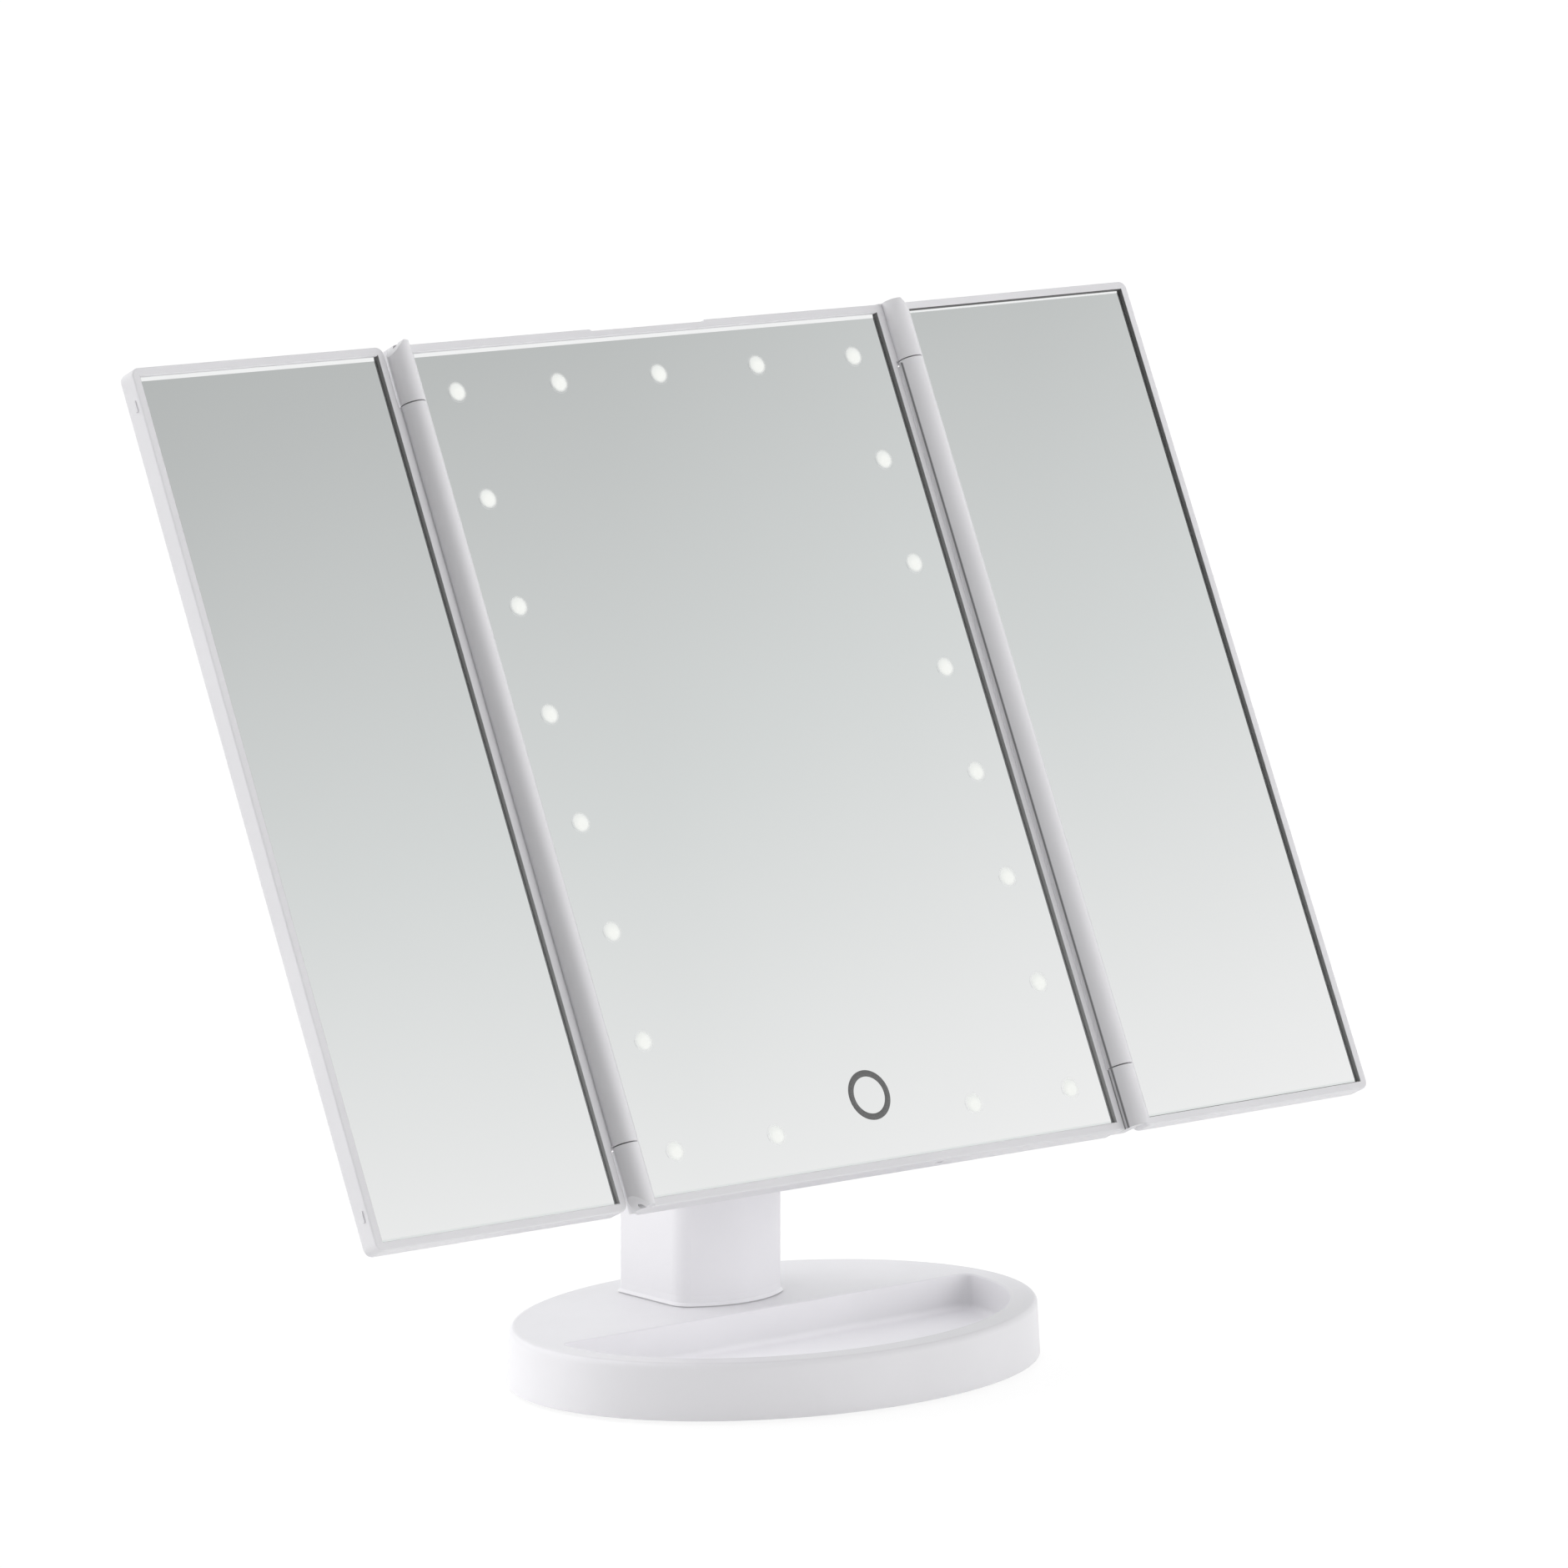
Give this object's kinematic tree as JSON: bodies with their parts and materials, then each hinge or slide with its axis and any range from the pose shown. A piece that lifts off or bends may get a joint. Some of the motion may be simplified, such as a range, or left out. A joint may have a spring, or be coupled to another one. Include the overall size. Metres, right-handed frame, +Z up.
{
  "type": "trifold vanity mirror",
  "caption": "Table mirror with a lit centre panel and two folding side panels, tilting on a square column over an oval base with a D-shaped tray.",
  "frame": {"origin": "on the table under the centre of the oval base", "axes": "+X to the right of a person facing the mirror, +Y away from that person, +Z up"},
  "size_m": [0.345, 0.1244, 0.2825],
  "materials": {
    "white_plastic": "satin, faint pebble",
    "inner_plastic": "moulded, unpolished",
    "mirror_glass": "silvered flat glass",
    "diffuser": "milky, frosted",
    "led": "clear cap over phosphor",
    "circuit_board": "solder mask",
    "light_strip": "white solder mask",
    "steel": "nickel plated",
    "rubber": "soft grip pad",
    "tape": "adhesive foam film",
    "lead_insulation": "soft insulation",
    "cell_jacket": "printed film over steel",
    "switch_knob": "moulded"
  },
  "bodies": {
    "stand": {"base_shell": "white_plastic", "base_plate": "white_plastic", "rubber_feet": "rubber", "base_screws": "steel", "column_screws": "steel", "column_shell": "white_plastic", "battery_bay": "inner_plastic", "bay_screws": "steel", "cell_lower_left": "cell_jacket", "cell_lower_right": "cell_jacket", "cell_upper_left": "cell_jacket", "cell_upper_right": "cell_jacket", "battery_springs": "steel", "battery_contacts": "steel", "inlet_board": "circuit_board", "inlet_board_screws": "steel", "power_socket": "steel", "column_lead": "lead_insulation", "friction_washers": "inner_plastic"},
    "battery_door": {"battery_door": "white_plastic"},
    "head": {"tilt_yoke": "white_plastic", "yoke_screws": "steel", "tilt_axle": "steel", "axle_nut": "steel", "yoke_caps": "white_plastic", "rear_cover": "white_plastic", "rear_cover_screws": "steel", "centre_frame": "white_plastic", "centre_glass": "mirror_glass", "centre_tape": "tape", "light_diffusers": "diffuser", "light_strip_top": "light_strip", "light_strip_left": "light_strip", "light_strip_right": "light_strip", "light_strip_bottom": "light_strip", "leds": "led", "control_board": "circuit_board", "control_board_screws": "steel", "touch_spring": "steel", "switch_housing": "steel", "head_lead": "lead_insulation", "hinge_rod_left": "steel", "hinge_rod_right": "steel"},
    "power_switch": {"switch_slider": "switch_knob"},
    "left_panel": {"left_frame": "white_plastic", "left_glass": "mirror_glass", "left_tape": "tape", "left_back": "white_plastic"},
    "right_panel": {"right_frame": "white_plastic", "right_glass": "mirror_glass", "right_tape": "tape", "right_back": "white_plastic"}
  },
  "joints": [
    {"name": "battery_door_hinge", "type": "hinge", "parent": "stand", "child": "battery_door", "pos_m": [0, 0.04425, 0.03], "axis": [-1, 0, 0], "range_deg": [0, 90]},
    {"name": "head_tilt", "type": "hinge", "parent": "stand", "child": "head", "pos_m": [0, 0.0301, 0.1587], "axis": [-1, 0, 0], "range_deg": [-22.5, 64.5]},
    {"name": "power_switch_slide", "type": "slide", "parent": "head", "child": "power_switch", "axis": [1, 0, 0], "range_m": [0, 0.003]},
    {"name": "left_panel_fold", "type": "hinge", "parent": "head", "child": "left_panel", "pos_m": [-0.0865, 0.0014, 0.17239], "axis": [0, 0.4305, 0.9026], "range_deg": [0, 180]},
    {"name": "right_panel_fold", "type": "hinge", "parent": "head", "child": "right_panel", "pos_m": [0.0865, 0.0014, 0.17239], "axis": [0, -0.4305, -0.9026], "range_deg": [-1.4, 178.6]}
  ]
}
